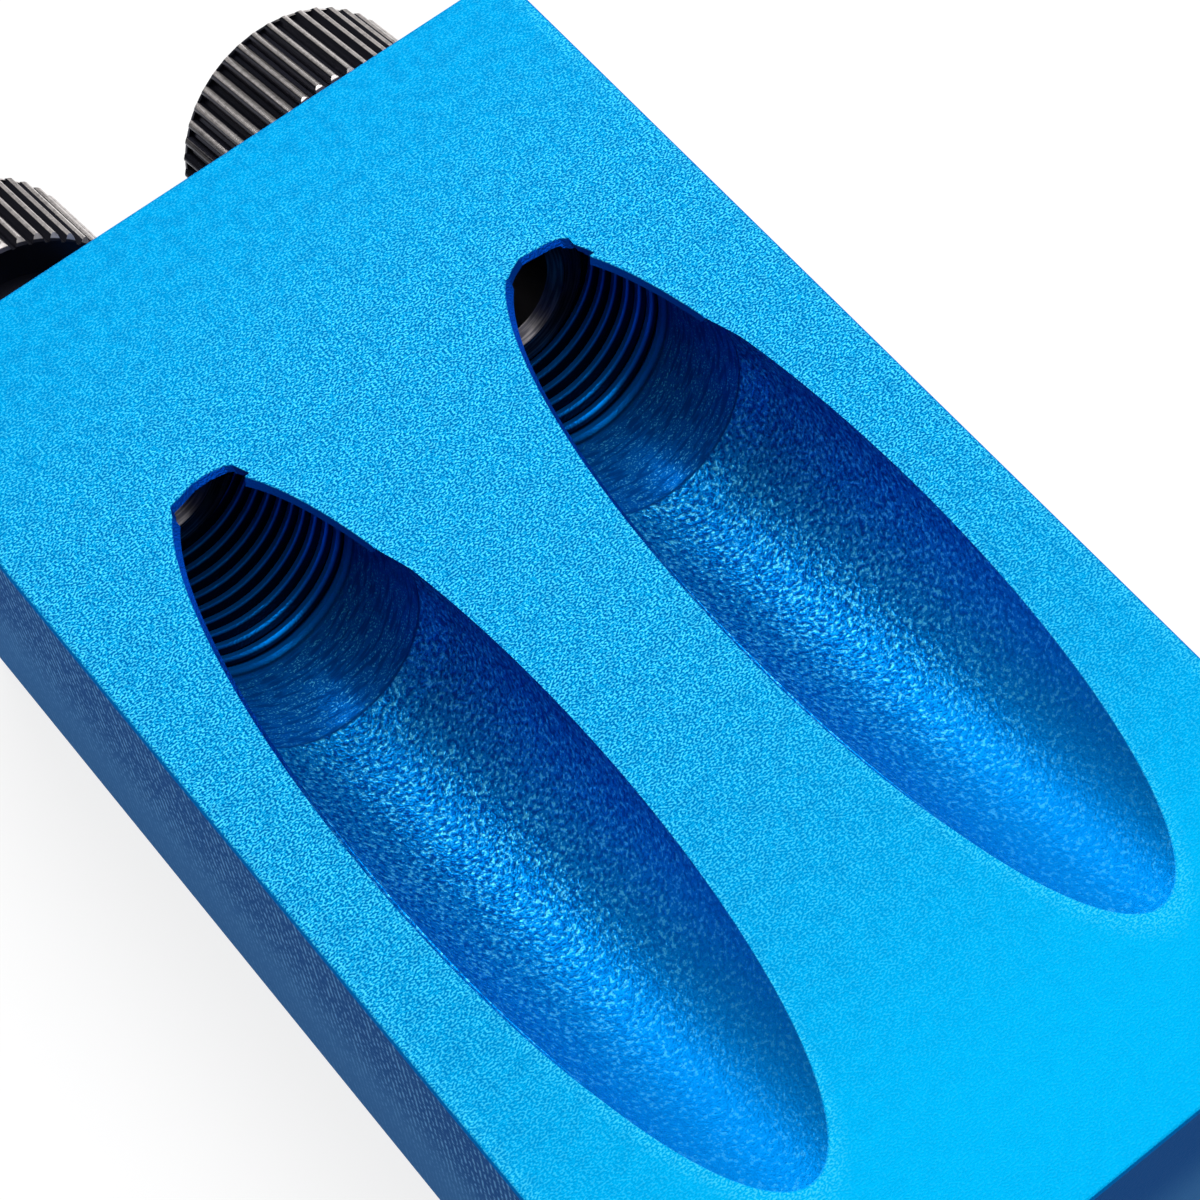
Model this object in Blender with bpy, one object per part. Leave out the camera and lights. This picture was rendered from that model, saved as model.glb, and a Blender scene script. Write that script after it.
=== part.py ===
# Two-hole pocket hole jig.
# An anodised aluminium block holds two knurled steel guide sleeves. Each sleeve screws into a
# bore that runs through the block at a slant and breaks out of its upper face, so that a stepped
# drill bit enters the board under that face at the pocket angle.
# Metres, +Z up. The block lies on its back face, with the openings up and the sleeves towards +Y.
# The origin is on the back face, midway along the block and midway across it.

import math

import bmesh
import bpy
from mathutils import Matrix, Vector

# Block
BLOCK_WIDTH = 0.058
BLOCK_LENGTH = 0.100
BLOCK_THICKNESS = 0.029
EDGE_CHAMFER = 0.0004

# Slanted bores. OPENING_DISTANCE runs along the upper face, from its guide-end edge to the
# point where a bore's axis crosses the face.
BORE_ANGLE = math.radians(15.0)
BORE_DIAMETER = 0.0165
BORE_SPACING = 0.0292
OPENING_DISTANCE = 0.05475
BORE_MOUTH_CHAMFER = 0.0006

# The edge of each opening in the upper face is broken, by this much across and this much down.
OPENING_BREAK_WIDTH = 0.00043
OPENING_BREAK_DEPTH = 0.00045

# The thin upper tip of each opening has come away. Each break line is at the upper face, as
# distances to the right of the bore's axis and beyond the bore's own tip. The break slopes in below.
TIP_BREAK_DEPTH = 0.00034
TIP_BREAK_SLOPE = 1.2
LEFT_TIP_BREAK = (
    (-0.00290, -0.0013),
    (-0.00285, -0.0001),
    (-0.00255, 0.0005),
    (-0.00150, 0.0008),
    (-0.00040, 0.0011),
    (0.00090, 0.0011),
    (0.00220, 0.0008),
    (0.00270, 0.0005),
    (0.00295, 0.0000),
    (0.00330, -0.0009),
)
RIGHT_TIP_BREAK = (
    (-0.00330, -0.0013),
    (-0.00255, -0.0005),
    (-0.00220, 0.0004),
    (-0.00160, 0.0008),
    (-0.00060, 0.0012),
    (0.00040, 0.0011),
    (0.00180, 0.0010),
    (0.00270, 0.0007),
    (0.00325, 0.0003),
    (0.00320, -0.0004),
    (0.00355, -0.0011),
    (0.00390, -0.0020),
)

# Right-hand thread, tapped into each bore from the guide end. THREAD_START is the distance along
# the axis from the upper face to its first mark. It deepens from there over THREAD_LEAD, and where
# it runs out through the upper face it leaves the upper end of the opening ragged.
THREAD_PITCH = 0.0015
THREAD_DEPTH = 0.0005
THREAD_FLANK_ANGLE = math.radians(30.0)
THREAD_START = 0.0276
THREAD_LEAD = 0.0032
LEFT_THREAD_PHASE = 0.00109
RIGHT_THREAD_PHASE = 0.00125

# Guide sleeves
SLEEVE_BORE_DIAMETER = 0.0095
SLEEVE_BORE_CHAMFER = 0.0009
SHANK_CLEARANCE = 0.0003
SHANK_LENGTH = 0.0190
SHANK_TIP_CHAMFER = 0.0010
NECK_DEPTH = 0.0004
NECK_LENGTH = 0.0024
HEAD_DIAMETER = 0.0209
HEAD_LENGTH = 0.0104
HEAD_CHAMFER = 0.0005
KNURL_DEPTH = 0.0006
KNURL_PITCH = 0.00149

# How far each head stands off the guide end of the block
RIGHT_STAND_OFF = 0.0045
LEFT_STAND_OFF = 0.0094

# Fineness of round forms
BORE_SEGMENTS = 36
SLEEVE_SEGMENTS = 48

# How far a cutter runs past the surface that it cuts, and how far the thread's cutter lies inside
# the bore between its ridges
OVERCUT = 0.001
TAP_CLEARANCE = 0.00005

BORE_RADIUS = BORE_DIAMETER / 2
SLEEVE_BORE_RADIUS = SLEEVE_BORE_DIAMETER / 2
SHANK_RADIUS = BORE_RADIUS - SHANK_CLEARANCE
HEAD_RADIUS = HEAD_DIAMETER / 2

# The upper face's guide-end edge, and the distance along a bore's axis from the upper face to
# the guide end, which is cut square to the bores.
GUIDE_EDGE_Y = BLOCK_LENGTH / 2
GUIDE_END = OPENING_DISTANCE * math.cos(BORE_ANGLE)

# Where a bore's axis crosses the upper face, and how far from there its upper tip lies
CROSSING_Y = GUIDE_EDGE_Y - OPENING_DISTANCE
BORE_TIP = BORE_RADIUS / math.sin(BORE_ANGLE)


def material(name, colour, roughness, metallic):
    finish = bpy.data.materials.new(name)
    finish.use_nodes = True
    shader = finish.node_tree.nodes["Principled BSDF"]
    shader.inputs["Base Color"].default_value = (*colour, 1.0)
    shader.inputs["Roughness"].default_value = roughness
    shader.inputs["Metallic"].default_value = metallic
    finish.diffuse_color = (*colour, 1.0)
    return finish


def new_object(name, mesh_data, finish=None):
    body = bpy.data.objects.new(name, mesh_data)
    bpy.context.scene.collection.objects.link(body)
    if finish is not None:
        mesh_data.materials.append(finish)
    return body


def finished_mesh(name, shape):
    bmesh.ops.recalc_face_normals(shape, faces=shape.faces)
    mesh_data = bpy.data.meshes.new(name)
    shape.to_mesh(mesh_data)
    shape.free()
    return mesh_data


def turned_mesh(name, profile, segments):
    """A closed turned solid about Z. profile lists (radius, height) from one end to the other."""
    shape = bmesh.new()
    rings = []
    for radius, height in profile:
        ring = []
        for index in range(segments):
            angle = 2 * math.pi * index / segments
            ring.append(shape.verts.new((radius * math.cos(angle), radius * math.sin(angle), height)))
        rings.append(ring)
    skin(shape, rings)
    mesh_data = finished_mesh(name, shape)
    mesh_data.shade_smooth()
    mesh_data.set_sharp_from_angle(angle=math.radians(30))
    return mesh_data


def skin(shape, rings):
    """Walls between neighbouring rings of vertices, and a flat cap at each end."""
    for lower, upper in zip(rings, rings[1:]):
        count = len(lower)
        for index in range(count):
            following = (index + 1) % count
            shape.faces.new((lower[index], lower[following], upper[following], upper[index]))
    shape.faces.new(rings[0])
    shape.faces.new(rings[-1])


def bore_frame(x):
    """Places Z along a bore's outward direction, with its zero where the axis crosses the face."""
    crossing = Vector((x, CROSSING_Y, BLOCK_THICKNESS))
    turn = Matrix.Rotation(-(math.pi / 2 + BORE_ANGLE), 4, "X")
    return Matrix.Translation(crossing) @ turn


def cut(body, cutter, operation="DIFFERENCE"):
    cutter.hide_render = True
    cutter.display_type = "WIRE"
    tool = body.modifiers.new(cutter.name, "BOOLEAN")
    tool.operation = operation
    tool.solver = "EXACT"
    tool.object = cutter


# Block

def block_mesh():
    """The bar, sawn square at one end and square to the bores at the guide end."""
    shape = bmesh.new()
    bmesh.ops.create_cube(shape, size=1.0)
    bmesh.ops.scale(shape, verts=shape.verts, vec=(BLOCK_WIDTH, BLOCK_LENGTH, BLOCK_THICKNESS))
    bmesh.ops.translate(shape, verts=shape.verts, vec=(0.0, 0.0, BLOCK_THICKNESS / 2))
    underside = [v for v in shape.verts if v.co.y > 0 and v.co.z < BLOCK_THICKNESS / 2]
    for corner in underside:
        corner.co.y -= BLOCK_THICKNESS * math.tan(BORE_ANGLE)
    return finished_mesh("jig_block", shape)


def bore_cutter(name, x):
    """The drilled hole, from beyond the guide end to where it has left the block."""
    reach = (BORE_RADIUS / math.sin(BORE_ANGLE) + BORE_RADIUS) / math.cos(BORE_ANGLE)
    outer = GUIDE_END + OVERCUT
    mouth = BORE_RADIUS + BORE_MOUTH_CHAMFER + OVERCUT
    profile = [
        (BORE_RADIUS, -reach),
        (BORE_RADIUS, GUIDE_END - BORE_MOUTH_CHAMFER),
        (mouth, outer),
    ]
    cutter = new_object(name, turned_mesh(name, profile, BORE_SEGMENTS))
    cutter.matrix_world = bore_frame(x)
    return cutter


def tap_profile(centre):
    """One ridge of the tap: (distance along the axis, radius) before, at and after its crest."""
    hidden = BORE_RADIUS - TAP_CLEARANCE
    lead = min(1.0, max(0.0, (centre - THREAD_START) / THREAD_LEAD))
    crest = BORE_RADIUS + THREAD_DEPTH * lead if lead > 0.0 else hidden
    flank = (THREAD_DEPTH + TAP_CLEARANCE) * math.tan(THREAD_FLANK_ANGLE)
    return ((centre - flank, hidden), (centre, crest), (centre + flank, hidden))


def tap_cutter(name, x, phase):
    """The tap as a closed screw surface. phase shifts its ridges along the axis."""
    first = THREAD_START - 2 * THREAD_PITCH
    turns = math.ceil((GUIDE_END - first) / THREAD_PITCH) + 4
    shape = bmesh.new()
    columns = []
    for index in range(BORE_SEGMENTS):
        turned = index / BORE_SEGMENTS
        angle = 2 * math.pi * turned
        column = []
        for turn in range(turns):
            for along, radius in tap_profile(first + phase + (turn + turned) * THREAD_PITCH):
                point = (radius * math.cos(angle), radius * math.sin(angle), along)
                column.append(shape.verts.new(point))
        columns.append(column)
    # After a whole turn, each column meets the first one a pitch further on.
    columns.append(columns[0][len(tap_profile(first)):])
    for column, following in zip(columns, columns[1:]):
        for row in range(len(columns[-1]) - 1):
            shape.faces.new((column[row], following[row], following[row + 1], column[row + 1]))
    for height, outward in ((first + 1.5 * THREAD_PITCH, -1), (GUIDE_END + OVERCUT / 2, 1)):
        trimmed = bmesh.ops.bisect_plane(
            shape,
            geom=shape.verts[:] + shape.edges[:] + shape.faces[:],
            plane_co=(0.0, 0.0, height),
            plane_no=(0.0, 0.0, outward),
            clear_outer=True,
        )
        rim = [part for part in trimmed["geom_cut"] if isinstance(part, bmesh.types.BMEdge)]
        bmesh.ops.edgeloop_fill(shape, edges=rim)
    tap = new_object(name, finished_mesh(name, shape))
    tap.matrix_world = bore_frame(x)
    return tap


def opening_break_cutter(name, x):
    """An oval cone about an opening. It keeps to the middle of the bore at any depth, is as wide as
    the bore at the depth of the edge break, and ends flat at the broken tip."""
    slope = OPENING_BREAK_WIDTH / OPENING_BREAK_DEPTH
    shape = bmesh.new()
    rings = []
    for height in (-3 * OPENING_BREAK_DEPTH, OVERCUT):
        radius = BORE_RADIUS + OPENING_BREAK_WIDTH + slope * height
        middle = -height / math.tan(BORE_ANGLE)
        ring = []
        for index in range(BORE_SEGMENTS):
            angle = 2 * math.pi * (index + 0.5) / BORE_SEGMENTS
            along = middle + radius * math.sin(angle) / math.sin(BORE_ANGLE)
            point = (radius * math.cos(angle), min(along, BORE_TIP + TIP_BREAK_DEPTH), height)
            ring.append(shape.verts.new(point))
        rings.append(ring)
    skin(shape, rings)
    cutter = new_object(name, finished_mesh(name, shape))
    cutter.location = (x, CROSSING_Y, BLOCK_THICKNESS)
    return cutter


def tip_break_cutter(name, x, line):
    """The sliver that has broken off the tip of an opening, smaller below the face than at it."""
    shape = bmesh.new()
    rings = []
    for height in (-TIP_BREAK_DEPTH, OVERCUT):
        shift = BORE_TIP + height * TIP_BREAK_SLOPE
        rings.append([shape.verts.new((across, along + shift, height)) for across, along in line])
    skin(shape, rings)
    cutter = new_object(name, finished_mesh(name, shape))
    cutter.location = (x, CROSSING_Y, BLOCK_THICKNESS)
    return cutter


def make_block(finish):
    block = new_object("jig_block", block_mesh(), finish)
    edges = block.modifiers.new("edge_chamfer", "BEVEL")
    edges.width = EDGE_CHAMFER
    edges.segments = 1
    edges.limit_method = "ANGLE"
    bores = (
        ("left", -BORE_SPACING / 2, LEFT_THREAD_PHASE, LEFT_TIP_BREAK),
        ("right", BORE_SPACING / 2, RIGHT_THREAD_PHASE, RIGHT_TIP_BREAK),
    )
    for side, x, phase, break_line in bores:
        bore = bore_cutter(side + "_bore_cutter", x)
        cut(bore, tap_cutter(side + "_tap_cutter", x, phase), "UNION")
        cut(block, bore)
        cut(block, opening_break_cutter(side + "_opening_break_cutter", x))
        cut(block, tip_break_cutter(side + "_tip_break_cutter", x, break_line))
    return block


# Guide sleeves, made along Z with the underside of the head at zero and the shank below it

def knurled_head_mesh(name):
    """A straight-knurled head: flat-topped ridges, bevelled at both ends of the head."""
    ridges = round(math.pi * HEAD_DIAMETER / KNURL_PITCH)
    root = HEAD_RADIUS - KNURL_DEPTH
    tooth = ((0.00, root), (0.16, root), (0.38, HEAD_RADIUS), (0.78, HEAD_RADIUS))
    rim = HEAD_RADIUS - HEAD_CHAMFER
    stations = (
        (rim, 0.0),
        (HEAD_RADIUS, HEAD_CHAMFER),
        (HEAD_RADIUS, HEAD_LENGTH - HEAD_CHAMFER),
        (rim, HEAD_LENGTH),
    )
    shape = bmesh.new()
    rings = []
    for limit, height in stations:
        ring = []
        for ridge in range(ridges):
            for share, radius in tooth:
                angle = 2 * math.pi * (ridge + share) / ridges
                reach = min(radius, limit)
                ring.append(shape.verts.new((reach * math.cos(angle), reach * math.sin(angle), height)))
        rings.append(ring)
    skin(shape, rings)
    return finished_mesh(name, shape)


def shank_mesh(name):
    """The shank, with its chamfered tip and the relief neck under the head."""
    neck = SHANK_RADIUS - NECK_DEPTH
    profile = [
        (SHANK_RADIUS - SHANK_TIP_CHAMFER, -SHANK_LENGTH),
        (SHANK_RADIUS, -SHANK_LENGTH + SHANK_TIP_CHAMFER),
        (SHANK_RADIUS, -NECK_LENGTH - NECK_DEPTH),
        (neck, -NECK_LENGTH),
        (neck, HEAD_LENGTH / 2),
    ]
    return turned_mesh(name, profile, SLEEVE_SEGMENTS)


def sleeve_bore_mesh(name):
    """The drill's way through the sleeve, chamfered at both mouths."""
    wide = SLEEVE_BORE_RADIUS + SLEEVE_BORE_CHAMFER + OVERCUT
    low = -SHANK_LENGTH
    profile = [
        (wide, low - OVERCUT),
        (SLEEVE_BORE_RADIUS, low + SLEEVE_BORE_CHAMFER),
        (SLEEVE_BORE_RADIUS, HEAD_LENGTH - SLEEVE_BORE_CHAMFER),
        (wide, HEAD_LENGTH + OVERCUT),
    ]
    return turned_mesh(name, profile, SLEEVE_SEGMENTS)


def make_sleeve(name, x, stand_off, finish):
    place = bore_frame(x) @ Matrix.Translation((0.0, 0.0, GUIDE_END + stand_off))
    sleeve = new_object(name, knurled_head_mesh(name), finish)
    sleeve.matrix_world = place
    shank = new_object(name + "_shank_form", shank_mesh(name + "_shank"))
    drill_way = new_object(name + "_bore_cutter", sleeve_bore_mesh(name + "_bore"))
    for form in (shank, drill_way):
        form.matrix_world = place
    cut(sleeve, shank, "UNION")
    cut(sleeve, drill_way)
    return sleeve


def build():
    for old in list(bpy.data.objects):
        bpy.data.objects.remove(old)
    anodised = material("blue_anodised_aluminium", (0.0, 0.39, 0.86), 0.42, 0.35)
    black_oxide = material("black_oxide_steel", (0.06, 0.06, 0.075), 0.38, 0.9)
    make_block(anodised)
    make_sleeve("left_guide_sleeve", -BORE_SPACING / 2, LEFT_STAND_OFF, black_oxide)
    make_sleeve("right_guide_sleeve", BORE_SPACING / 2, RIGHT_STAND_OFF, black_oxide)


build()
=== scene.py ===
import math

import bpy
from mathutils import Matrix, Vector


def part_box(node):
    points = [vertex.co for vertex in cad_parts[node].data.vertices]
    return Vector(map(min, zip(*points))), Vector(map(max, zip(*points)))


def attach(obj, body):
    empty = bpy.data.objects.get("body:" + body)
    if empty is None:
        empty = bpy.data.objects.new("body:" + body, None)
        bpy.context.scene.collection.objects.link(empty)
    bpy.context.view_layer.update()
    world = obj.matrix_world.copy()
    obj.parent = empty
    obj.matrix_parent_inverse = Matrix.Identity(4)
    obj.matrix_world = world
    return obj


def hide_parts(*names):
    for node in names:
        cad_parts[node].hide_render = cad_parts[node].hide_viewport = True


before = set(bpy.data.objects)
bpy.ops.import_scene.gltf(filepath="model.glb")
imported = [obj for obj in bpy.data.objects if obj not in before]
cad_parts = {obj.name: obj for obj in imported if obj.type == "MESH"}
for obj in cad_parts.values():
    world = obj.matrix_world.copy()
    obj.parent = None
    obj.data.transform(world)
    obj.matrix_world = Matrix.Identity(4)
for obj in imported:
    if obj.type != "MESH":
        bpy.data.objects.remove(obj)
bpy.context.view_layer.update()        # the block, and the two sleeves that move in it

# Camera
# It looks down on the face with the openings from beyond the left corner of the square end,
# as the photograph does, so that the guide sleeves are at the upper left.
CAMERA_PLACE = (-0.06058, -0.09356, 0.23374)
CAMERA_TURN = (28.981, 3.143, -38.365)
CAMERA_LENS = 103.78

bpy.ops.object.camera_add(
    location=CAMERA_PLACE,
    rotation=[math.radians(angle) for angle in CAMERA_TURN],
)
camera = bpy.context.object
camera.name = "photo_camera"
camera.data.lens = CAMERA_LENS
bpy.context.scene.camera = camera
bpy.context.scene.view_settings.view_transform = "Standard"

# Floor and studio
# A sheet of white card under the jig, in a plain grey room. The camera sees the card as white, and it
# keeps a faint shadow. One soft box hangs behind the guide end, one overhead, one on the right.
FLOOR_SIZE = 6.0
CARD_GREY = 0.20
CARD_SEEN = 0.24
CARD_GLOW = 0.80
ROOM_GREY = 0.12
SOFT_BOXES = {
    "key_box": ((0.20, 0.42, 0.66), 0.46, 4.0),
    "fill_box": ((0.06, -0.16, 0.78), 0.60, 2.9),
    "side_box": ((0.70, 0.32, 0.30), 0.50, 1.6),
}

bpy.ops.mesh.primitive_plane_add(size=FLOOR_SIZE, location=(0.0, 0.0, -0.00005))
floor = bpy.context.object
floor.name = "white_card"


def wire(tree, *links):
    """Joins pairs of sockets: from an output, to an input."""
    for source, target in links:
        tree.links.new(source, target)


def seen_directly(tree):
    """1 for what the camera sees, straight or in a reflection or through glass."""
    path = tree.nodes.new("ShaderNodeLightPath")
    either = tree.nodes.new("ShaderNodeMath")
    either.operation = "MAXIMUM"
    both = tree.nodes.new("ShaderNodeMath")
    both.operation = "MAXIMUM"
    wire(
        tree,
        (path.outputs["Is Camera Ray"], either.inputs[0]),
        (path.outputs["Is Glossy Ray"], either.inputs[1]),
        (either.outputs[0], both.inputs[0]),
        (path.outputs["Is Transmission Ray"], both.inputs[1]),
    )
    return both.outputs[0]


card = bpy.data.materials.new("white_card")
card.use_nodes = True
card_tree = card.node_tree
card_paint = card_tree.nodes["Principled BSDF"]
card_paint.inputs["Roughness"].default_value = 0.9
card_paint.inputs["Specular IOR Level"].default_value = 0.0
card_paint.inputs["Emission Color"].default_value = (1.0, 1.0, 1.0, 1.0)
card_grey = card_tree.nodes.new("ShaderNodeMix")
card_grey.data_type = "RGBA"
card_grey.inputs["A"].default_value = (CARD_GREY, CARD_GREY, CARD_GREY, 1.0)
card_grey.inputs["B"].default_value = (CARD_SEEN, CARD_SEEN, CARD_SEEN, 1.0)
card_glow = card_tree.nodes.new("ShaderNodeMath")
card_glow.operation = "MULTIPLY"
card_glow.inputs[1].default_value = CARD_GLOW
card_seen = seen_directly(card_tree)
wire(
    card_tree,
    (card_seen, card_grey.inputs["Factor"]),
    (card_grey.outputs["Result"], card_paint.inputs["Base Color"]),
    (card_seen, card_glow.inputs[0]),
    (card_glow.outputs[0], card_paint.inputs["Emission Strength"]),
)
floor.data.materials.append(card)

room = bpy.data.worlds.new("grey_room")
bpy.context.scene.world = room
room.use_nodes = True
room_light = room.node_tree.nodes["Background"]
room_light.inputs["Color"].default_value = (1.0, 1.0, 1.0, 1.0)
room_light.inputs["Strength"].default_value = ROOM_GREY

for name, (box_place, size, power) in SOFT_BOXES.items():
    aim = Vector((0.0, 0.0, 0.02)) - Vector(box_place)
    bpy.ops.object.light_add(
        type="AREA", location=box_place, rotation=aim.to_track_quat("-Z", "Y").to_euler(),
    )
    soft_box = bpy.context.object
    soft_box.name = name
    soft_box.data.size = size
    soft_box.data.energy = power

# Block
# One bar of aluminium, milled square on the sides and the far end, and square to the bores at the
# guide end. It was drilled, then tapped from the guide end, blasted with fine beads and anodised
# blue. Both bores break out of the upper face, which leaves their thin upper tips broken.
block_low, block_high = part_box("jig_block")
BLOCK_WIDTH = block_high.x - block_low.x
BLOCK_LENGTH = block_high.y - block_low.y
BLOCK_THICKNESS = block_high.z - block_low.z
EDGE_BREAK = 0.00042
BORE_ANGLE = math.radians(15.0)
BORE_RADIUS = 0.00825
BORE_SPACING = 0.0292
OPENING_DISTANCE = 0.05475
COUNTERSINK_RADIUS = 0.0093
OVERCUT = 0.001
BORE_SIDES = 144

# The thread, as distances along a bore's axis from where the axis crosses the upper face
THREAD_PITCH = 0.0015
THREAD_ROOT_RADIUS = 0.00902
THREAD_START = 0.0276
THREAD_LEAD_SLOPE = 0.1
THREAD_GROOVE_WIDTH = 0.00112
THREAD_ROOT_WIDTH = 0.0002
THREAD_PHASE = {"left": 0.00109, "right": 0.00125}
LEAD_BANDS = 30

# Below the thread the bore was opened out by a second cut, a little to the right and deeper
TROUGH_START = 0.0200
TROUGH_TAPER = 0.0030
TROUGH_RADIUS = 0.00852
TROUGH_SHIFT = (0.00020, 0.00017)

# The edge of each opening is broken where it is steep, and the thin upper tip has come away
OPENING_RADIUS = 0.00858
OPENING_SHIFT = -0.00028
EDGE_BREAK_DEPTH = 0.0006
EDGE_BREAK_SLOPE = 0.78
EDGE_BREAK_LEAN = math.radians(0.5)
EDGE_BREAK_PIVOT = 0.0250
EDGE_BREAK_END = 0.0322
LIP_THICKNESS = 0.00031
BROKEN_TIP_DEPTH = 0.0006
BROKEN_TIP_SLOPE = 0.0009
BROKEN_TIP_OUTLINE = {
    "left": (
        (-2.9, 30.6), (-2.85, 31.8), (-2.55, 32.4), (-1.5, 32.65), (-0.4, 32.95), (0.9, 32.95),
        (2.2, 32.7), (2.7, 32.4), (2.95, 31.85), (3.3, 31.0),
    ),
    "right": (
        (-3.3, 30.6), (-2.55, 31.35), (-2.2, 32.25), (-1.6, 32.65), (-0.6, 33.1), (0.4, 33.0),
        (1.8, 32.85), (2.7, 32.6), (3.25, 32.2), (3.2, 31.5), (3.55, 30.8), (3.9, 29.9),
    ),
}

guide_end_distance = OPENING_DISTANCE * math.cos(BORE_ANGLE)
crossing_y = block_high.y - OPENING_DISTANCE


def nothing_selected():
    bpy.ops.object.select_all(action="DESELECT")


def choose_points(piece, wanted):
    """In edit mode, selects the points that wanted() says yes to, and what lies between them."""
    bpy.ops.object.mode_set(mode="EDIT")
    bpy.ops.mesh.select_mode(type="VERT")
    bpy.ops.mesh.select_all(action="DESELECT")
    bpy.ops.object.mode_set(mode="OBJECT")
    for point in piece.data.vertices:
        point.select = wanted(point.co)
    bpy.ops.object.mode_set(mode="EDIT")


def only(piece):
    """Makes piece the one that the next operators work on."""
    nothing_selected()
    piece.select_set(True)
    bpy.context.view_layer.objects.active = piece


def place_on_bore(piece, x, along=0.0):
    """Lays a piece that was made upright along a bore's axis, and applies its place."""
    crossing = Vector((x, crossing_y, block_high.z))
    turn = Matrix.Rotation(-(math.pi / 2 + BORE_ANGLE), 4, "X")
    piece.matrix_world = Matrix.Translation(crossing) @ turn @ Matrix.Translation((0, 0, along))
    only(piece)
    bpy.ops.object.transform_apply(location=True, rotation=True, scale=True)


def combine(piece, tool, operation):
    """Applies a Boolean with a tool, and takes the tool away."""
    only(piece)
    change = piece.modifiers.new(tool.name, "BOOLEAN")
    change.operation = operation
    change.solver = "EXACT"
    change.object = tool
    bpy.ops.object.modifier_apply(modifier=change.name)
    bpy.data.objects.remove(tool)


def turned_blank(name, radius, bottom, top, sides):
    """An upright round bar, ready to be shaped."""
    nothing_selected()
    bpy.ops.mesh.primitive_cylinder_add(
        vertices=sides, radius=radius, depth=top - bottom, location=(0, 0, (top + bottom) / 2)
    )
    bar = bpy.context.object
    bar.name = name
    bpy.ops.object.transform_apply(location=True, rotation=True, scale=True)
    return bar


def widen_end(bar, height, ratio):
    """Scales the round end of a bar that lies at a height."""
    choose_points(bar, lambda co: abs(co.z - height) < 1e-6)
    bpy.ops.transform.resize(value=(ratio, ratio, 1.0), center_override=(0, 0, height))
    bpy.ops.object.mode_set(mode="OBJECT")


def screw_rod(name, turn_profile, bottom, top, steps):
    """An upright right-hand screw between two heights. turn_profile lists (radius, height) points
    of its outline over one pitch, from a crest to the start of the next one."""
    nothing_selected()
    bpy.ops.mesh.primitive_plane_add(size=1.0)
    rod = bpy.context.object
    rod.name = name
    first_radius, first_height = turn_profile[0]
    bpy.ops.object.mode_set(mode="EDIT")
    bpy.ops.mesh.select_all(action="SELECT")
    bpy.ops.mesh.merge(type="CENTER")
    bpy.ops.transform.translate(value=(first_radius, 0, first_height))
    for (radius, height), (following, higher) in zip(turn_profile, turn_profile[1:]):
        bpy.ops.mesh.extrude_region_move(
            TRANSFORM_OT_translate={"value": (following - radius, 0, higher - height)}
        )
    bpy.ops.object.mode_set(mode="OBJECT")
    screw = rod.modifiers.new("screw", "SCREW")
    screw.screw_offset = THREAD_PITCH
    screw.iterations = math.ceil((top - first_height) / THREAD_PITCH) + 1
    screw.steps = steps
    screw.render_steps = steps
    bpy.ops.object.modifier_apply(modifier=screw.name)
    bpy.ops.object.mode_set(mode="EDIT")
    bpy.ops.mesh.select_all(action="SELECT")
    bpy.ops.mesh.remove_doubles(threshold=0.000002)
    for height, outward in ((bottom, -1), (top, 1)):
        bpy.ops.mesh.select_all(action="SELECT")
        bpy.ops.mesh.bisect(
            plane_co=(0, 0, height), plane_no=(0, 0, outward), use_fill=True, clear_outer=True,
            threshold=1e-7,
        )
    bpy.ops.mesh.select_all(action="SELECT")
    bpy.ops.mesh.normals_make_consistent(inside=False)
    bpy.ops.object.mode_set(mode="OBJECT")
    return rod


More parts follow.
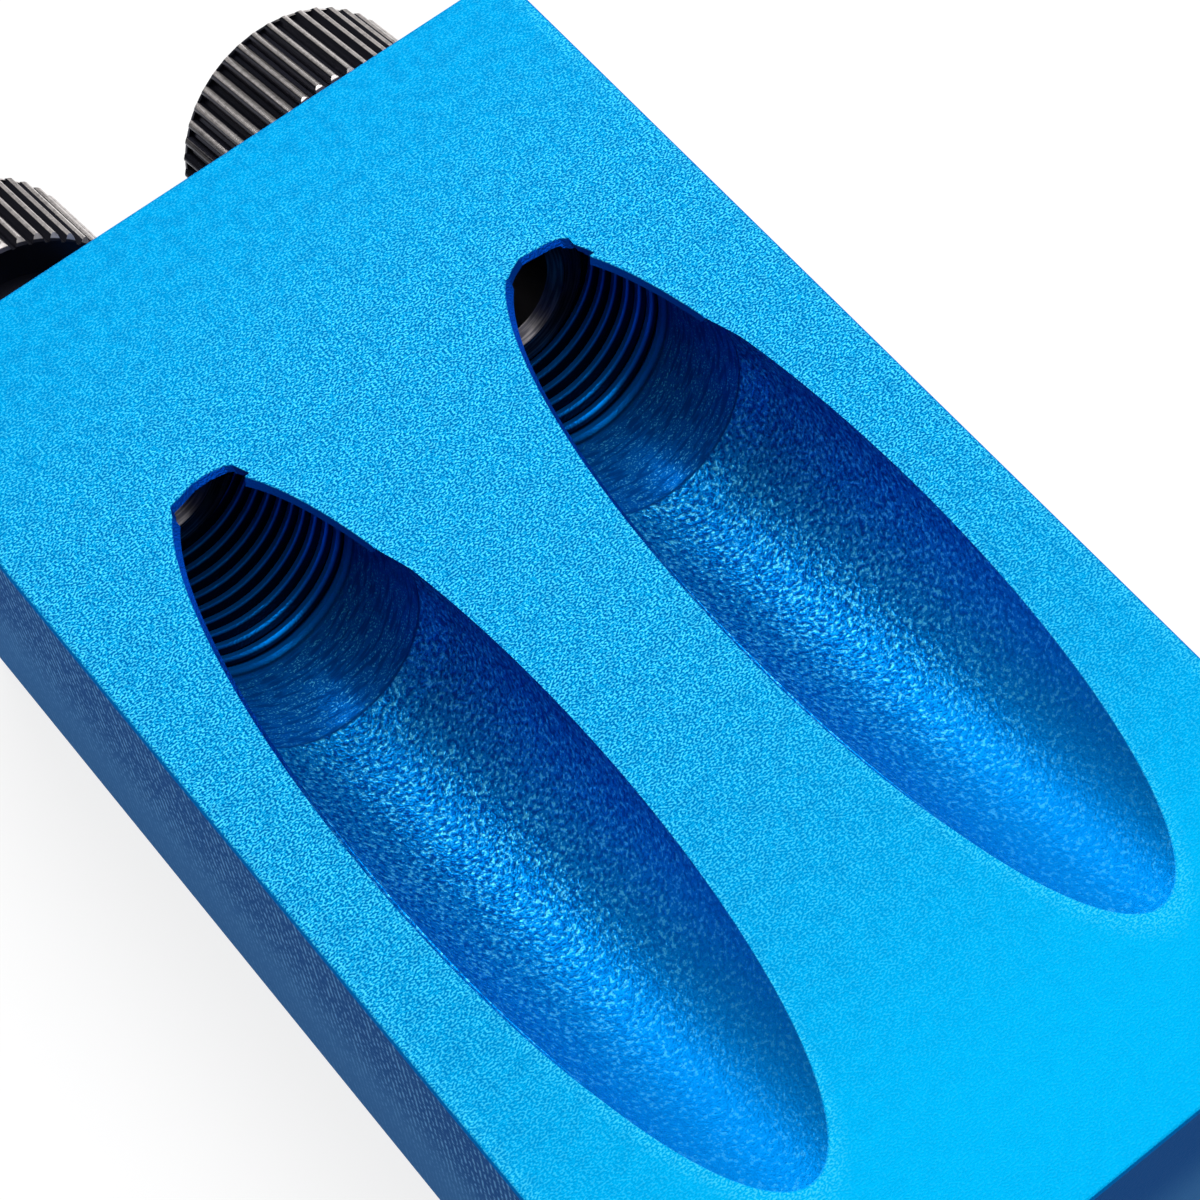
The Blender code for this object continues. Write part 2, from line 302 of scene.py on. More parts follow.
def boring_tool(side, x):
    """The drill and the tap in one: plain up to the thread's start, which deepens by degrees."""
    half_root = THREAD_ROOT_WIDTH / 2
    half_groove = THREAD_GROOVE_WIDTH / 2
    start = THREAD_START - 2 * THREAD_PITCH + THREAD_PHASE[side]
    outline = (
        (BORE_RADIUS, start + half_groove - THREAD_PITCH),
        (BORE_RADIUS, start - half_groove),
        (THREAD_ROOT_RADIUS, start - half_root),
        (THREAD_ROOT_RADIUS, start + half_root),
        (BORE_RADIUS, start + half_groove),
    )
    tool = screw_rod(
        side + "_boring_tool", outline, THREAD_START, guide_end_distance + OVERCUT, BORE_SIDES
    )
    lead_length = (THREAD_ROOT_RADIUS - BORE_RADIUS) / THREAD_LEAD_SLOPE
    for band in range(LEAD_BANDS):
        low = THREAD_START + lead_length * band / LEAD_BANDS
        high = low + lead_length / LEAD_BANDS
        root = BORE_RADIUS + (low + high - 2 * THREAD_START) / 2 * THREAD_LEAD_SLOPE
        choose_points(
            tool,
            lambda co: low - 1e-7 <= co.z < high - 1e-7 and co.xy.length > BORE_RADIUS + 1e-6,
        )
        ratio = root / THREAD_ROOT_RADIUS
        bpy.ops.transform.resize(value=(ratio, ratio, 1.0), center_override=(0, 0, 0))
    bpy.ops.object.mode_set(mode="OBJECT")
    for point in tool.data.vertices:
        if point.co.z < THREAD_START + 1e-7:
            point.co.xy *= BORE_RADIUS / point.co.xy.length
    choose_points(tool, lambda co: co.z < THREAD_START + 1e-7)
    bpy.ops.mesh.extrude_region_move(
        TRANSFORM_OT_translate={"value": (0, 0, TROUGH_START - THREAD_START)}
    )
    bpy.ops.mesh.extrude_region_move(
        TRANSFORM_OT_translate={"value": (*TROUGH_SHIFT, -TROUGH_TAPER)}
    )
    ratio = TROUGH_RADIUS / BORE_RADIUS
    bpy.ops.transform.resize(value=(ratio, ratio, 1.0), center_override=(*TROUGH_SHIFT, 0))
    reach = (TROUGH_RADIUS / math.sin(BORE_ANGLE) + TROUGH_RADIUS) / math.cos(BORE_ANGLE)
    bpy.ops.mesh.extrude_region_move(
        TRANSFORM_OT_translate={"value": (0, 0, TROUGH_TAPER - TROUGH_START - reach)}
    )
    bpy.ops.mesh.select_all(action="SELECT")
    bpy.ops.mesh.quads_convert_to_tris(quad_method="BEAUTY", ngon_method="BEAUTY")
    bpy.ops.object.mode_set(mode="OBJECT")
    place_on_bore(tool, x)
    return tool


def countersink_tool(side, x):
    """A cone that takes the first turn of the thread off at the guide end."""
    inside = BORE_RADIUS - 0.0002
    depth = COUNTERSINK_RADIUS - inside
    outside = COUNTERSINK_RADIUS + OVERCUT
    top = guide_end_distance + OVERCUT
    tool = turned_blank(side + "_countersink", outside, guide_end_distance - depth, top, BORE_SIDES)
    widen_end(tool, guide_end_distance - depth, inside / outside)
    place_on_bore(tool, x)
    return tool


def thin_lip(side, x):
    """The skin of metal that the tap leaves under the face, over the thread by the tip."""
    nothing_selected()
    bpy.ops.mesh.primitive_cube_add(size=1.0, location=(0, 0, 0))
    lip = bpy.context.object
    lip.name = side + "_lip"
    bpy.ops.object.mode_set(mode="EDIT")
    bpy.ops.transform.resize(value=(0.0156, 0.0160, LIP_THICKNESS), center_override=(0, 0, 0))
    middle = block_high.z - 0.00001 - LIP_THICKNESS / 2
    bpy.ops.transform.translate(value=(x, crossing_y + 0.0285, middle))
    bpy.ops.object.mode_set(mode="OBJECT")
    return lip


def edge_break_tool(side, x):
    """An oval cone that takes the sharp edge off an opening, mostly on its left."""
    low_radius = OPENING_RADIUS - EDGE_BREAK_SLOPE * EDGE_BREAK_DEPTH
    high_radius = OPENING_RADIUS + EDGE_BREAK_SLOPE * OVERCUT
    tool = turned_blank(side + "_edge_break", high_radius, -EDGE_BREAK_DEPTH, OVERCUT, BORE_SIDES)
    widen_end(tool, -EDGE_BREAK_DEPTH, low_radius / high_radius)
    bpy.ops.object.mode_set(mode="EDIT")
    bpy.ops.mesh.select_all(action="SELECT")
    bpy.ops.transform.resize(value=(1.0, 1 / math.sin(BORE_ANGLE), 1.0), center_override=(0, 0, 0))
    bpy.ops.object.mode_set(mode="OBJECT")
    pivot = Vector((0, EDGE_BREAK_PIVOT, 0))
    tool.matrix_world = (
        Matrix.Translation(Vector((x + OPENING_SHIFT, crossing_y, block_high.z)) + pivot)
        @ Matrix.Rotation(-EDGE_BREAK_LEAN, 4, "X") @ Matrix.Translation(-pivot)
    )
    only(tool)
    bpy.ops.object.transform_apply(location=True, rotation=True, scale=True)
    bpy.ops.object.mode_set(mode="EDIT")
    bpy.ops.mesh.select_all(action="SELECT")
    bpy.ops.mesh.bisect(
        plane_co=(0, crossing_y + EDGE_BREAK_END, 0), plane_no=(0, 1, 0),
        use_fill=True, clear_outer=True, threshold=1e-7,
    )
    bpy.ops.mesh.select_all(action="SELECT")
    bpy.ops.mesh.normals_make_consistent(inside=False)
    bpy.ops.mesh.quads_convert_to_tris(quad_method="BEAUTY", ngon_method="BEAUTY")
    bpy.ops.object.mode_set(mode="OBJECT")
    return tool


def broken_tip_tool(side, x):
    """The sliver that has broken off the tip of an opening, wider at the face than below it."""
    outline = BROKEN_TIP_OUTLINE[side]
    nothing_selected()
    bpy.ops.mesh.primitive_circle_add(vertices=len(outline), radius=1.0, fill_type="NGON")
    tool = bpy.context.object
    tool.name = side + "_broken_tip"
    top = block_high.z + OVERCUT
    for point, (across, along) in zip(tool.data.vertices, outline):
        point.co = (x + across / 1000, crossing_y + along / 1000, block_high.z)
    bpy.ops.object.mode_set(mode="EDIT")
    bpy.ops.mesh.select_all(action="SELECT")
    bpy.ops.mesh.extrude_region_move(
        TRANSFORM_OT_translate={"value": (0, -BROKEN_TIP_SLOPE, -BROKEN_TIP_DEPTH)}
    )
    choose_points(tool, lambda co: co.z > block_high.z - 1e-6)
    bpy.ops.transform.translate(value=(0, BROKEN_TIP_SLOPE, BROKEN_TIP_DEPTH))
    bpy.ops.mesh.select_all(action="SELECT")
    bpy.ops.mesh.normals_make_consistent(inside=False)
    bpy.ops.mesh.quads_convert_to_tris(quad_method="BEAUTY", ngon_method="BEAUTY")
    bpy.ops.object.mode_set(mode="OBJECT")
    return tool


nothing_selected()
bpy.ops.mesh.primitive_cube_add(size=1.0, location=(0, 0, 0))
block = bpy.context.object
block.name = "blue_block"
bpy.ops.object.mode_set(mode="EDIT")
bpy.ops.mesh.select_all(action="SELECT")
bpy.ops.transform.resize(
    value=(BLOCK_WIDTH, BLOCK_LENGTH, BLOCK_THICKNESS), center_override=(0, 0, 0)
)
bpy.ops.transform.translate(value=(block_low + block_high) / 2)
choose_points(block, lambda co: co.y > 0 and co.z < block_high.z / 2)
bpy.ops.transform.translate(value=(0, -BLOCK_THICKNESS * math.tan(BORE_ANGLE), 0))
bpy.ops.mesh.select_all(action="SELECT")
bpy.ops.mesh.bevel(offset=EDGE_BREAK, offset_type="WIDTH", segments=3, profile=0.5)
bpy.ops.object.mode_set(mode="OBJECT")

for side, x in (("left", -BORE_SPACING / 2), ("right", BORE_SPACING / 2)):
    for make_tool, operation in (
        (boring_tool, "DIFFERENCE"), (countersink_tool, "DIFFERENCE"), (thin_lip, "UNION"),
        (edge_break_tool, "DIFFERENCE"), (broken_tip_tool, "DIFFERENCE"),
    ):
        combine(block, make_tool(side, x), operation)

only(block)
bpy.ops.object.shade_smooth_by_angle(angle=math.radians(9))
flatten = block.modifiers.new("flat_faces", "WEIGHTED_NORMAL")
flatten.keep_sharp = True
bpy.ops.object.modifier_apply(modifier=flatten.name)


def bore_place_group():
    """Where a point lies about the nearer bore: how far along its axis, and how far off it."""
    group = bpy.data.node_groups.new("place_in_bore", "ShaderNodeTree")
    group.interface.new_socket("Along", in_out="OUTPUT", socket_type="NodeSocketFloat")
    group.interface.new_socket("Off Axis", in_out="OUTPUT", socket_type="NodeSocketFloat")
    group.interface.new_socket("Around", in_out="OUTPUT", socket_type="NodeSocketFloat")
    nodes = group.nodes
    place = nodes.new("ShaderNodeTexCoord")
    split = nodes.new("ShaderNodeSeparateXYZ")
    mirrored = nodes.new("ShaderNodeMath")
    mirrored.operation = "ABSOLUTE"
    joined = nodes.new("ShaderNodeCombineXYZ")
    lay = nodes.new("ShaderNodeMapping")
    lay.vector_type = "TEXTURE"
    lay.inputs["Location"].default_value = (BORE_SPACING / 2, crossing_y, block_high.z)
    lay.inputs["Rotation"].default_value = (-(math.pi / 2 + BORE_ANGLE), 0, 0)
    about = nodes.new("ShaderNodeSeparateXYZ")
    flat = nodes.new("ShaderNodeCombineXYZ")
    off = nodes.new("ShaderNodeVectorMath")
    off.operation = "LENGTH"
    around = nodes.new("ShaderNodeMath")
    around.operation = "ARCTAN2"
    out = nodes.new("NodeGroupOutput")
    wire(
        group,
        (place.outputs["Object"], split.inputs[0]),
        (split.outputs["X"], mirrored.inputs[0]),
        (mirrored.outputs[0], joined.inputs["X"]),
        (split.outputs["Y"], joined.inputs["Y"]),
        (split.outputs["Z"], joined.inputs["Z"]),
        (joined.outputs[0], lay.inputs["Vector"]),
        (lay.outputs[0], about.inputs[0]),
        (about.outputs["X"], flat.inputs["X"]),
        (about.outputs["Y"], flat.inputs["Y"]),
        (flat.outputs[0], off.inputs[0]),
        (about.outputs["Y"], around.inputs[0]),
        (about.outputs["X"], around.inputs[1]),
        (about.outputs["Z"], out.inputs["Along"]),
        (off.outputs["Value"], out.inputs["Off Axis"]),
        (around.outputs[0], out.inputs["Around"]),
    )
    return group


place_in_bore = bore_place_group()


def add_group(tree, group):
    node = tree.nodes.new("ShaderNodeGroup")
    node.node_tree = group
    return node


def noise(tree, vector, scale, detail=2.0, roughness=0.5):
    node = tree.nodes.new("ShaderNodeTexNoise")
    node.inputs["Scale"].default_value = scale
    node.inputs["Detail"].default_value = detail
    node.inputs["Roughness"].default_value = roughness
    tree.links.new(vector, node.inputs["Vector"])
    return node.outputs["Fac"]


def ramp(tree, value, low, high, to_low=0.0, to_high=1.0):
    """Spreads the values from low to high over the range from to_low to to_high."""
    node = tree.nodes.new("ShaderNodeMapRange")
    node.interpolation_type = "SMOOTHSTEP"
    node.inputs["From Min"].default_value = low
    node.inputs["From Max"].default_value = high
    node.inputs["To Min"].default_value = to_low
    node.inputs["To Max"].default_value = to_high
    tree.links.new(value, node.inputs["Value"])
    return node.outputs["Result"]


def maths(tree, operation, first, second):
    """A Math node between two sockets, or a socket and a number."""
    node = tree.nodes.new("ShaderNodeMath")
    node.operation = operation
    for index, value in enumerate((first, second)):
        if isinstance(value, (int, float)):
            node.inputs[index].default_value = value
        else:
            tree.links.new(value, node.inputs[index])
    return node.outputs[0]


def mixed(tree, factor, first, second):
    """A colour between two others, each a socket or a colour."""
    node = tree.nodes.new("ShaderNodeMix")
    node.data_type = "RGBA"
    tree.links.new(factor, node.inputs["Factor"])
    for name, value in (("A", first), ("B", second)):
        if isinstance(value, tuple):
            node.inputs[name].default_value = (*value, 1.0)
        else:
            tree.links.new(value, node.inputs[name])
    return node.outputs["Result"]


def bump(tree, height, strength, distance, below=None):
    node = tree.nodes.new("ShaderNodeBump")
    node.inputs["Strength"].default_value = strength
    node.inputs["Distance"].default_value = distance
    tree.links.new(height, node.inputs["Height"])
    if below is not None:
        tree.links.new(below, node.inputs["Normal"])
    return node.outputs["Normal"]


FACE_BLUE = (0.0, 0.38, 0.78)
FACE_PIT = (0.0, 0.10, 0.38)
FACE_GLINT = (0.08, 0.74, 1.0)
FACE_PAINTED_HIGHLIGHT = (0.0, 0.47, 0.90)
# The blues inside the bores are darker than the face: partly a different finish, partly painted shade
BORE_BLUE_AND_SHADE = (0.0, 0.22, 0.66)
BORE_PIT = (0.0, 0.08, 0.38)
BORE_GLINT = (0.08, 0.62, 1.0)
CREST_BLUE_AND_SHADE = (0.0, 0.18, 0.66)
GROOVE_PAINTED_SHADE = (0.0, 0.006, 0.03)
RIM_PAINTED_SHADE = (0.0, 0.045, 0.34)
SMOOTH_BLUE_AND_SHADE = (0.0, 0.15, 0.62)
SIDE_PAINTED_SHADE = (0.0, 0.11, 0.31)
SIDE_LOW_PAINTED_SHADE = (0.06, 0.22, 0.46)
SIDE_GLINT = (0.30, 0.62, 0.92)
DYE_SHEEN = (0.03, 0.30, 0.75)
SIDE_ROWS = 0.00060

anodised = bpy.data.materials.new("blue_anodised_aluminium")
anodised.use_nodes = True
tree = anodised.node_tree
dye = tree.nodes["Principled BSDF"]
dye.inputs["Specular IOR Level"].default_value = 0.02
dye.inputs["Specular Tint"].default_value = (*DYE_SHEEN, 1.0)
texture_place = tree.nodes.new("ShaderNodeTexCoord")
place = texture_place.outputs["Object"]
split = tree.nodes.new("ShaderNodeSeparateXYZ")
facing = tree.nodes.new("ShaderNodeSeparateXYZ")
wire(tree, (place, split.inputs[0]), (texture_place.outputs["Normal"], facing.inputs[0]))
across = maths(tree, "ABSOLUTE", split.outputs["X"], 0.0)
length = split.outputs["Y"]
height = split.outputs["Z"]
bore = add_group(tree, place_in_bore)
along = bore.outputs["Along"]
off_axis = bore.outputs["Off Axis"]

# Where each finish lies, and where the thread roots take painted shade
below_face = ramp(tree, height, block_high.z - 0.00001, block_high.z - 0.00006)
in_bore = maths(tree, "MULTIPLY", below_face, ramp(tree, off_axis, 0.0095, 0.0092))
groove_shade_mask = maths(
    tree, "MULTIPLY",
    ramp(tree, off_axis, BORE_RADIUS + 0.00004, BORE_RADIUS + 0.00022),
    maths(tree, "MULTIPLY", in_bore, ramp(tree, along, THREAD_START, THREAD_START + 0.0003)),
)
well_below = ramp(tree, height, block_high.z - 0.0005, block_high.z - 0.0006)
groove_shade_mask = maths(tree, "MULTIPLY", groove_shade_mask, well_below)
on_side = maths(tree, "MULTIPLY", below_face, maths(tree, "SUBTRACT", 1.0, in_bore))
orange_peel = ramp(tree, along, TROUGH_START + 0.0002, TROUGH_START - 0.0002)

# The blasted face: dense grain with painted glints, smoother towards the square end, with a painted
# highlight that lightens it towards the square end, and painted glints along its edges
stretched = tree.nodes.new("ShaderNodeVectorMath")
stretched.operation = "MULTIPLY"
stretched.inputs[1].default_value = (0.8, 1.15, 1.0)
wire(tree, (place, stretched.inputs[0]))
grain = noise(tree, stretched.outputs[0], 7000.0, 0.0)
coarse = noise(tree, place, 900.0, 2.0, 0.5)
depth = maths(
    tree, "MULTIPLY",
    ramp(tree, length, -0.042, 0.002, 0.06, 1.0), ramp(tree, length, 0.050, 0.026, 0.25, 1.0),
)
pits = maths(tree, "MULTIPLY", depth, ramp(tree, grain, 0.50, 0.36))
# Painted glints: bright specks at the peaks of the grain
glints = maths(tree, "MULTIPLY", depth, ramp(tree, grain, 0.52, 0.68))
fringe = maths(
    tree, "MAXIMUM",
    ramp(tree, across, block_high.x - 0.0016, block_high.x - 0.0005),
    ramp(tree, off_axis, OPENING_RADIUS + 0.0008, OPENING_RADIUS + 0.0001),
)
# Painted highlight: the face is coloured lighter towards the square end
face = mixed(tree, ramp(tree, length, -0.015, -0.045), FACE_BLUE, FACE_PAINTED_HIGHLIGHT)
face = mixed(tree, maths(tree, "MULTIPLY", pits, 0.85), face, FACE_PIT)
face = mixed(tree, glints, face, FACE_GLINT)
# Painted glints along the side edges of the face and around the openings
face = mixed(
    tree,
    maths(tree, "MULTIPLY", fringe, ramp(tree, grain, 0.46, 0.66, 0.0, 0.5)),
    face, FACE_GLINT,
)
blotches = maths(
    tree, "MULTIPLY", ramp(tree, coarse, 0.35, 0.70, 0.0, 0.22), ramp(tree, length, -0.045, -0.010, 0.2, 1.0)
)
face = mixed(tree, blotches, face, FACE_PIT)

# The bores: orange peel left by the blasting with painted glints, finer rings nearer the thread,
# and thread roots painted near black as shade
peel = noise(tree, place, 2900.0, 2.0, 0.6)
ring_place = tree.nodes.new("ShaderNodeCombineXYZ")
wire(
    tree,
    (along, ring_place.inputs["X"]),
    (maths(tree, "MULTIPLY", bore.outputs["Around"], 0.0016), ring_place.inputs["Y"]),
)
rings = noise(tree, ring_place.outputs[0], 2600.0, 2.0, 0.5)
specks = ramp(tree, grain, 0.55, 0.75)
peel_height = ramp(tree, along, -0.026, 0.006, 0.2, 1.0)
peel_pits = maths(tree, "MULTIPLY", peel_height, ramp(tree, peel, 0.50, 0.38))
peel_glints = maths(tree, "MULTIPLY", peel_height, ramp(tree, peel, 0.54, 0.66))
trough = mixed(tree, peel_pits, BORE_BLUE_AND_SHADE, BORE_PIT)
trough = mixed(tree, peel_glints, trough, BORE_GLINT)
smooth = mixed(tree, ramp(tree, rings, 0.52, 0.38, 0.0, 0.8), SMOOTH_BLUE_AND_SHADE, BORE_PIT)
smooth = mixed(tree, maths(tree, "MULTIPLY", specks, ramp(tree, rings, 0.40, 0.62)), smooth, BORE_GLINT)
inside = mixed(tree, orange_peel, smooth, trough)
cut_end = maths(tree, "ABSOLUTE", maths(tree, "SUBTRACT", along, TROUGH_START), 0.0)
inside = mixed(tree, ramp(tree, cut_end, 0.00013, 0.00005, 0.0, 0.85), inside, BORE_PIT)
threaded = ramp(tree, along, THREAD_START + 0.0002, THREAD_START + 0.0020)
inside = mixed(tree, threaded, inside, CREST_BLUE_AND_SHADE)
# Painted shade: the thread roots are coloured near black
inside = mixed(tree, groove_shade_mask, inside, GROOVE_PAINTED_SHADE)
# Painted shade: the broken edge just under the face, towards the thread, is coloured dark
shaded_rim = maths(
    tree, "MULTIPLY", ramp(tree, facing.outputs["Z"], 0.40, 0.50),
    ramp(tree, height, block_high.z - 0.00070, block_high.z - 0.00065),
)
inside = mixed(tree, maths(tree, "MULTIPLY", shaded_rim, ramp(tree, along, 0.0, 0.012)), inside, RIM_PAINTED_SHADE)

# The sides: cutter marks in close upright rows, worn smoother low down. Their colour is painted
# shade, darker than the face, and less dark low down
row = maths(tree, "SINE", maths(tree, "MULTIPLY", length, math.tau / SIDE_ROWS), 0.0)
side_grain = noise(tree, place, 2400.0, 1.0)
dots = maths(tree, "MULTIPLY", ramp(tree, row, -0.2, 0.8), ramp(tree, side_grain, 0.42, 0.60))
high_up = ramp(tree, height, 0.008, 0.022)
side_colour_with_shade = mixed(tree, high_up, SIDE_LOW_PAINTED_SHADE, SIDE_PAINTED_SHADE)
side_colour_with_shade = mixed(
    tree,
    maths(tree, "MULTIPLY", dots, ramp(tree, height, 0.004, 0.020, 0.15, 0.8)),
    side_colour_with_shade, SIDE_GLINT,
)

colour = mixed(tree, in_bore, face, inside)
# Painted shade: edges, the bottom and sloped faces below the face take the darker bore blue
flat_side = ramp(tree, maths(tree, "ABSOLUTE", facing.outputs["Z"], 0.0), 0.30, 0.15)
side_colour_with_shade = mixed(tree, flat_side, BORE_BLUE_AND_SHADE, side_colour_with_shade)
colour = mixed(tree, on_side, colour, side_colour_with_shade)
bore_roughness = ramp(tree, along, -0.026, 0.004, 0.52, 0.30)
roughness = maths(
    tree, "ADD",
    maths(tree, "MULTIPLY", in_bore, bore_roughness), ramp(tree, in_bore, 0.0, 1.0, 0.55, 0.0),
)
metal_shine = ramp(tree, below_face, 0.0, 1.0, 0.15, 0.55)
relief = bump(tree, grain, 0.5, 0.00005)
peel_depth = maths(tree, "MULTIPLY", maths(tree, "MULTIPLY", in_bore, orange_peel), peel_height)
relief = bump(tree, maths(tree, "MULTIPLY", peel, peel_depth), 1.0, 0.00016, relief)
wire(
    tree,
    (colour, dye.inputs["Base Color"]),
    (roughness, dye.inputs["Roughness"]),
    (metal_shine, dye.inputs["Metallic"]),
    (relief, dye.inputs["Normal"]),
)
block.data.materials.clear()
block.data.materials.append(anodised)
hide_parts("jig_block")
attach(block, "block")

# Guide sleeves
# Each is turned from steel bar: a straight-knurled head to turn it by, a relief neck, a threaded
# shank, and a bore right through for the stepped drill bit. It is blackened in a hot oxide bath,
# and the ridges of the knurl have worn paler; on their right the pale crests also carry painted
# highlight. The right one is screwed in further than the left.
HEAD_RADIUS = 0.01045
HEAD_LENGTH = 0.0104
HEAD_CHAMFER = 0.0005
HEAD_RIM_RADIUS = 0.01017
HEAD_RIM_LENGTH = 0.00045
KNURL_RIDGES = 44
KNURL_DEPTH = 0.00062
KNURL_STEPS = 10
SHANK_LENGTH = 0.0190
SHANK_TIP_CHAMFER = 0.0010
SHANK_ROOT_RADIUS = 0.00742
SHANK_THREAD_RADIUS = 0.00818
NECK_RADIUS = 0.0073
NECK_LENGTH = 0.0024
SLEEVE_BORE_RADIUS = 0.00475
SLEEVE_BORE_CHAMFER = 0.0009
STAND_OFF = {"left": 0.0094, "right": 0.0045}
SLEEVE_SIDES = 96


def chamfered_bar(name, radius, bottom, top, chamfer_low, chamfer_high, sides):
    """A round bar with a chamfer at each end that has a size other than zero."""
    bar = turned_blank(name, radius, bottom, top, sides)
    for height, size in ((bottom, chamfer_low), (top, chamfer_high)):
        if size:
            choose_points(bar, lambda co: abs(co.z - height) < 1e-6)
            bpy.ops.mesh.bevel(offset=size, offset_type="OFFSET", segments=1)
            bpy.ops.object.mode_set(mode="OBJECT")
    return bar


def knurled_head():
    """A round bar with its side pressed into straight ridges, up to a plain rim at the far end."""
    sides = KNURL_RIDGES * KNURL_STEPS
    head = turned_blank("head", HEAD_RADIUS, 0.0, HEAD_LENGTH, sides)
    for steps, share in (((0, 1, 9), 1.0), ((2, 8), 0.62), ((3, 7), 0.26), ((4, 6), 0.08)):
        ratio = 1 - KNURL_DEPTH * share / HEAD_RADIUS
        choose_points(
            head,
            lambda co: round(math.atan2(co.y, co.x) / math.tau * sides) % KNURL_STEPS in steps,
        )
        bpy.ops.transform.resize(value=(ratio, ratio, 1.0), center_override=(0, 0, 0))
        bpy.ops.object.mode_set(mode="OBJECT")
    blank = chamfered_bar(
        "head_blank", HEAD_RADIUS, 0.0, HEAD_LENGTH, HEAD_CHAMFER, HEAD_CHAMFER, SLEEVE_SIDES * 2
    )
    combine(head, blank, "INTERSECT")
    rim = chamfered_bar(
        "head_rim", HEAD_RIM_RADIUS, HEAD_LENGTH - HEAD_RIM_LENGTH, HEAD_LENGTH + 0.00002,
        0.0, HEAD_RIM_LENGTH / 2, SLEEVE_SIDES * 2,
    )
    combine(head, rim, "UNION")
    return head


def threaded_shank():
    """The thread, trimmed by the chamfer of the tip, and the neck under the head."""
    root, crest = SHANK_ROOT_RADIUS, SHANK_THREAD_RADIUS
    start = -SHANK_LENGTH - 0.003
    outline = (
        (root, start), (root, start + 0.0002), (crest, start + 0.0007), (crest, start + 0.001),
        (root, start + THREAD_PITCH),
    )
    shank = screw_rod("shank", outline, -SHANK_LENGTH - 0.001, -NECK_LENGTH + 0.0005, SLEEVE_SIDES)
    trim = chamfered_bar(
        "shank_trim", SHANK_THREAD_RADIUS + 0.0001, -SHANK_LENGTH, -NECK_LENGTH,
        SHANK_TIP_CHAMFER, 0.0008, SLEEVE_SIDES,
    )
    combine(shank, trim, "INTERSECT")
    neck = turned_blank("neck", NECK_RADIUS, -NECK_LENGTH - 0.0006, 0.001, SLEEVE_SIDES)
    combine(shank, neck, "UNION")
    return shank


def drill_way():
    """The bore through the sleeve, with a chamfer at each mouth."""
    wide = SLEEVE_BORE_RADIUS + SLEEVE_BORE_CHAMFER + OVERCUT
    way = turned_blank(
        "drill_way", SLEEVE_BORE_RADIUS,
        -SHANK_LENGTH + SLEEVE_BORE_CHAMFER, HEAD_LENGTH - SLEEVE_BORE_CHAMFER, SLEEVE_SIDES,
    )
    for end, direction in ((1, 1), (-1, -1)):
        middle = (HEAD_LENGTH - SHANK_LENGTH) / 2
        choose_points(way, lambda co: (co.z - middle) * end > (HEAD_LENGTH + SHANK_LENGTH) / 2 - 0.001)
        bpy.ops.mesh.extrude_region_move(
            TRANSFORM_OT_translate={"value": (0, 0, direction * (SLEEVE_BORE_CHAMFER + OVERCUT))}
        )
        ratio = wide / SLEEVE_BORE_RADIUS
        bpy.ops.transform.resize(value=(ratio, ratio, 1.0), center_override=(0, 0, 0))
        bpy.ops.object.mode_set(mode="OBJECT")
    return way


sleeve_blank = knurled_head()
combine(sleeve_blank, threaded_shank(), "UNION")
combine(sleeve_blank, drill_way(), "DIFFERENCE")
only(sleeve_blank)
bpy.ops.object.shade_smooth_by_angle(angle=math.radians(28))

OXIDE_BLACK = (0.024, 0.025, 0.038)
OXIDE_WEAR_AND_HIGHLIGHT = (0.78, 0.73, 0.71)

oxide = bpy.data.materials.new("black_oxide_steel")
oxide.use_nodes = True
tree = oxide.node_tree
steel = tree.nodes["Principled BSDF"]
steel.inputs["Metallic"].default_value = 0.9
steel.inputs["Roughness"].default_value = 0.30
texture_place = tree.nodes.new("ShaderNodeTexCoord")
place = texture_place.outputs["Object"]
facing = tree.nodes.new("ShaderNodeSeparateXYZ")
wire(tree, (texture_place.outputs["Normal"], facing.inputs[0]))
bore = add_group(tree, place_in_bore)
off_axis = bore.outputs["Off Axis"]

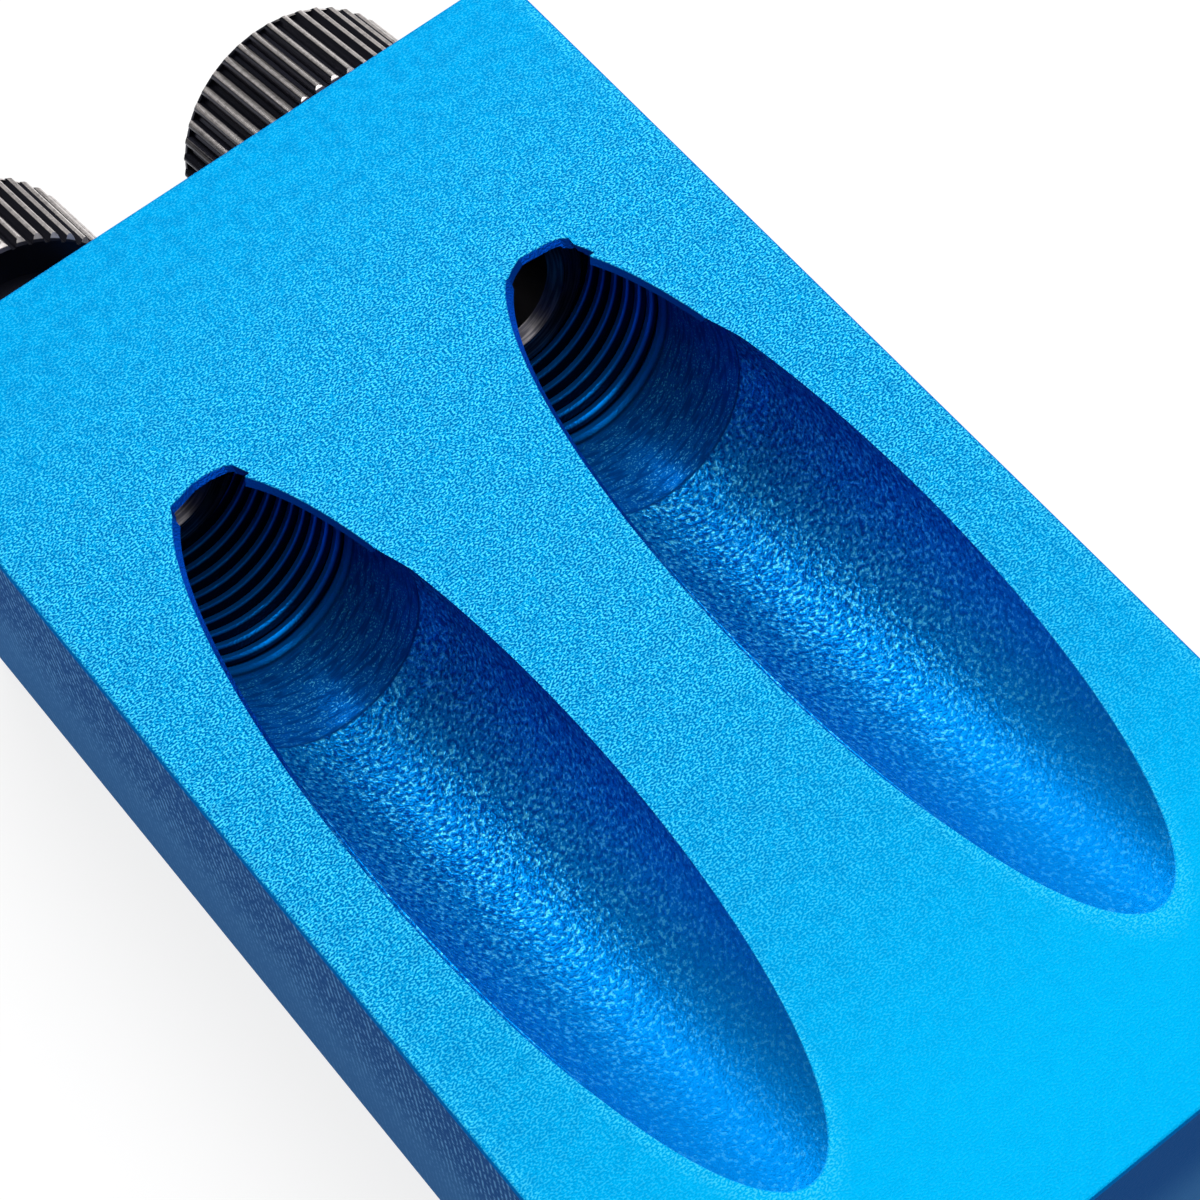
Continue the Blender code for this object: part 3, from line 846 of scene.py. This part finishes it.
# The ridges are worn pale along their crests; the pale band is widened on the right as painted
# highlight and kept dark on the left as painted shade
crest_reach_and_light = maths(tree, "ADD", off_axis, ramp(tree, facing.outputs["X"], -0.9, 0.8, -0.00005, 0.00036))
crest = ramp(tree, crest_reach_and_light, HEAD_RADIUS - 0.00007, HEAD_RADIUS - 0.00001)
mottle = noise(tree, place, 1800.0, 3.0, 0.6)
crest_wear_and_highlight = maths(tree, "MULTIPLY", crest, ramp(tree, mottle, 0.2, 0.6, 0.55, 1.0))
# Painted shade: crests that face left are kept dark
crest_wear_and_highlight = maths(tree, "MULTIPLY", crest_wear_and_highlight, ramp(tree, facing.outputs["X"], -0.95, -0.45, 0.06, 1.0))

# The flat ends keep the lines of the turning tool, lightened along them: partly wear, partly a
# painted glint
lathe_place = tree.nodes.new("ShaderNodeCombineXYZ")
wire(
    tree,
    (off_axis, lathe_place.inputs["X"]),
    (maths(tree, "MULTIPLY", bore.outputs["Around"], 0.0003), lathe_place.inputs["Y"]),
)
lathe_lines = noise(tree, lathe_place.outputs[0], 5200.0, 1.0)
on_end = ramp(tree, off_axis, NECK_RADIUS, NECK_RADIUS - 0.0003)
end_wear_and_glint = maths(tree, "MULTIPLY", on_end, ramp(tree, lathe_lines, 0.40, 0.66, 0.04, 0.20))
crest_wear_and_highlight = maths(tree, "MAXIMUM", crest_wear_and_highlight, end_wear_and_glint)
wire(tree, (mixed(tree, crest_wear_and_highlight, OXIDE_BLACK, OXIDE_WEAR_AND_HIGHLIGHT), steel.inputs["Base Color"]))
wire(tree, (bump(tree, mottle, 0.25, 0.00003), steel.inputs["Normal"]))
sleeve_blank.data.materials.clear()
sleeve_blank.data.materials.append(oxide)

for side, x in (("left", -BORE_SPACING / 2), ("right", BORE_SPACING / 2)):
    sleeve = sleeve_blank.copy()
    sleeve.data = sleeve_blank.data.copy()
    sleeve.name = side + "_knurled_sleeve"
    bpy.context.scene.collection.objects.link(sleeve)
    place_on_bore(sleeve, x, guide_end_distance + STAND_OFF[side])
    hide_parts(side + "_guide_sleeve")
    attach(sleeve, side + "_sleeve")
bpy.data.objects.remove(sleeve_blank)
